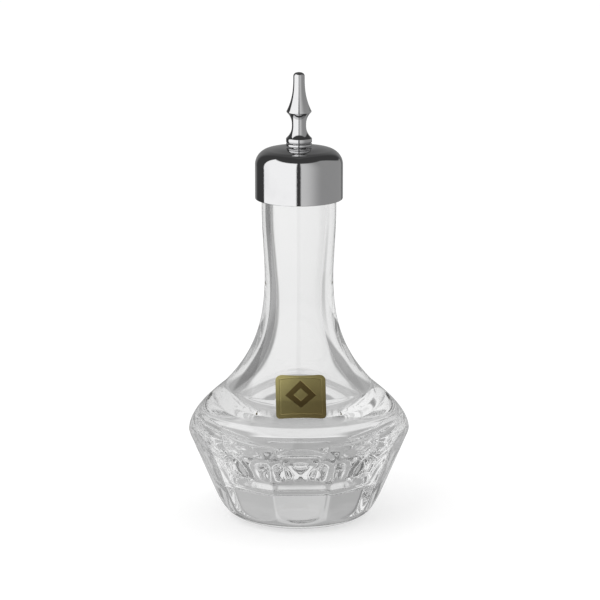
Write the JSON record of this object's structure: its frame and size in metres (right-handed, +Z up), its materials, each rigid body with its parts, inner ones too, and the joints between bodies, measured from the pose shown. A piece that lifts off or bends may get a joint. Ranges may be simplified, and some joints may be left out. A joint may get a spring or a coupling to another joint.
{
  "type": "bitters bottle",
  "caption": "Faceted clear glass dash bottle with a flared shoulder and slim neck, a push-in chrome cap and a turned dasher spout.",
  "frame": {"origin": "centre of the base, on the surface that the bottle stands on", "axes": "+Z up the bottle's axis to the spout's tip, -Y through the facet and the label that face the viewer, +X to the viewer's right"},
  "size_m": [0.068, 0.0672, 0.1386],
  "materials": {
    "clear_glass": "clear, fire polished",
    "gold_foil": "satin foil",
    "chrome": "polished plate",
    "brass": "turned",
    "polyethylene": "moulded, milky",
    "silicone": "soft, translucent white"
  },
  "bodies": {
    "bottle": {"glass_bottle": "clear_glass", "foil_label": "gold_foil"},
    "closure": {"cap_shell": "chrome", "threaded_hub": "brass", "stopper": "polyethylene", "rim_gasket": "silicone"},
    "collar": {"seat_collar": "chrome"},
    "spout": {"dasher_spout": "chrome"}
  },
  "joints": [
    {"name": "cap_lift", "type": "slide", "parent": "bottle", "child": "closure", "axis": [0, 0, 1], "range_m": [0, 0.03]},
    {"name": "spout_rise", "type": "slide", "parent": "closure", "child": "collar", "axis": [0, 0, 1], "range_m": [0, 0.0048]},
    {"name": "spout_unscrew", "type": "hinge", "parent": "collar", "child": "spout", "pos_m": [0, 0, 0.1172], "axis": [0, 0, 1], "range_deg": [0, 2160]}
  ],
  "couplings": [
    {"joint": "spout_unscrew", "follows": "spout_rise", "rad_per_m": 7854}
  ]
}
